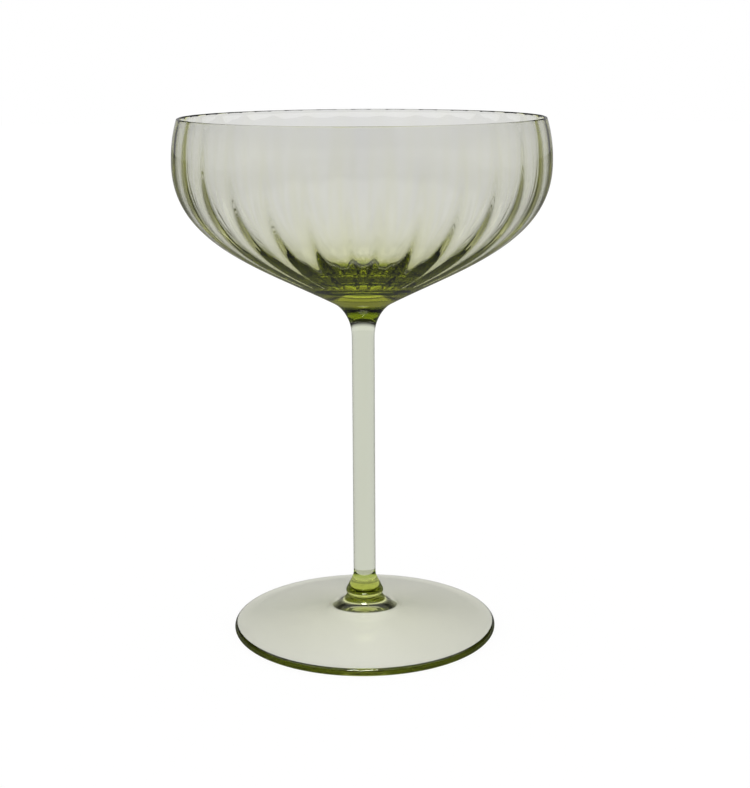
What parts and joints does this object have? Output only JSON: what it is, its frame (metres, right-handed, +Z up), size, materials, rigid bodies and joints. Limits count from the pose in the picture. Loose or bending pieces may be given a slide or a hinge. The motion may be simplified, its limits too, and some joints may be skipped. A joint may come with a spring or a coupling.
{
  "type": "champagne coupe glass",
  "caption": "Champagne coupe of pale green glass: a shallow bowl with fine optic ribs inside, on a slim drawn stem and a round conical foot, for serving sparkling wine.",
  "frame": {"origin": "centre of the foot on the plane that the glass stands on", "axes": "+Z up along the axis of the stem, -Y towards the front"},
  "size_m": [0.1094, 0.1094, 0.155],
  "materials": {
    "pale_green_glass": "clear, fire polished, pale olive green",
    "deep_green_glass": "clear, fire polished, olive green where the gather is thick"
  },
  "bodies": {
    "root": {"foot": "pale_green_glass", "foot_knop": "deep_green_glass", "stem": "pale_green_glass", "bowl_button": "deep_green_glass", "bowl": "pale_green_glass"}
  },
  "joints": []
}
